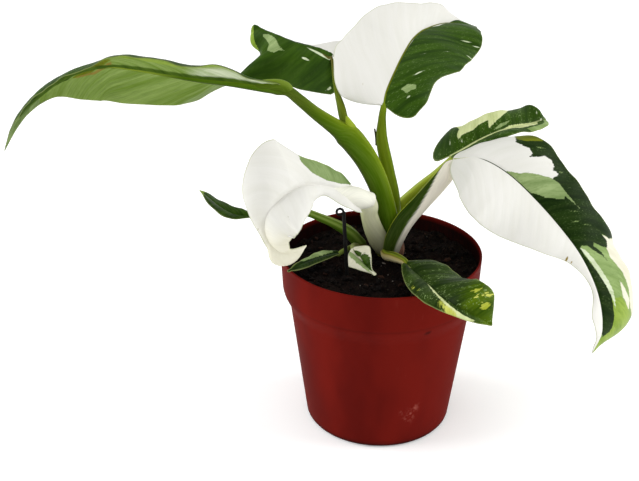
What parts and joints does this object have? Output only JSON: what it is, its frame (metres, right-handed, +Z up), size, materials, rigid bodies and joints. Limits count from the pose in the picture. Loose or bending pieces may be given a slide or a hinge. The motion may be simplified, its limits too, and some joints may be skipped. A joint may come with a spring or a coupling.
{
  "type": "potted plant",
  "caption": "Potted white princess philodendron: broad variegated leaves on stout channelled stalks, rooted in dark soil in a plain tapered nursery pot.",
  "frame": {"origin": "centre of the pot's underside, on the surface it stands on", "axes": "+Z up along the pot's axis; +X runs the long way of the foliage, to the viewer's right; the viewer stands at -Y"},
  "size_m": [0.3708, 0.195, 0.2402],
  "materials": {
    "pot_plastic": "satin",
    "soil": "matte",
    "stalk": "satin",
    "green_leaf": "satin",
    "variegated_leaf": "satin",
    "white_leaf": "satin",
    "dry_husk": "matte",
    "pin_wire": "satin"
  },
  "bodies": {
    "root": {"pot": "pot_plastic", "soil": "soil", "main_shoot": "stalk", "side_shoot": "stalk", "leaf_1": "green_leaf", "leaf_2": "green_leaf", "leaf_3": "variegated_leaf", "leaf_4": "variegated_leaf", "leaf_5": "variegated_leaf", "leaf_6": "white_leaf", "leaf_7": "green_leaf", "leaf_8": "green_leaf", "leaf_9": "green_leaf", "leaf_10": "variegated_leaf", "husk": "dry_husk", "wire_pin": "pin_wire"}
  },
  "joints": []
}
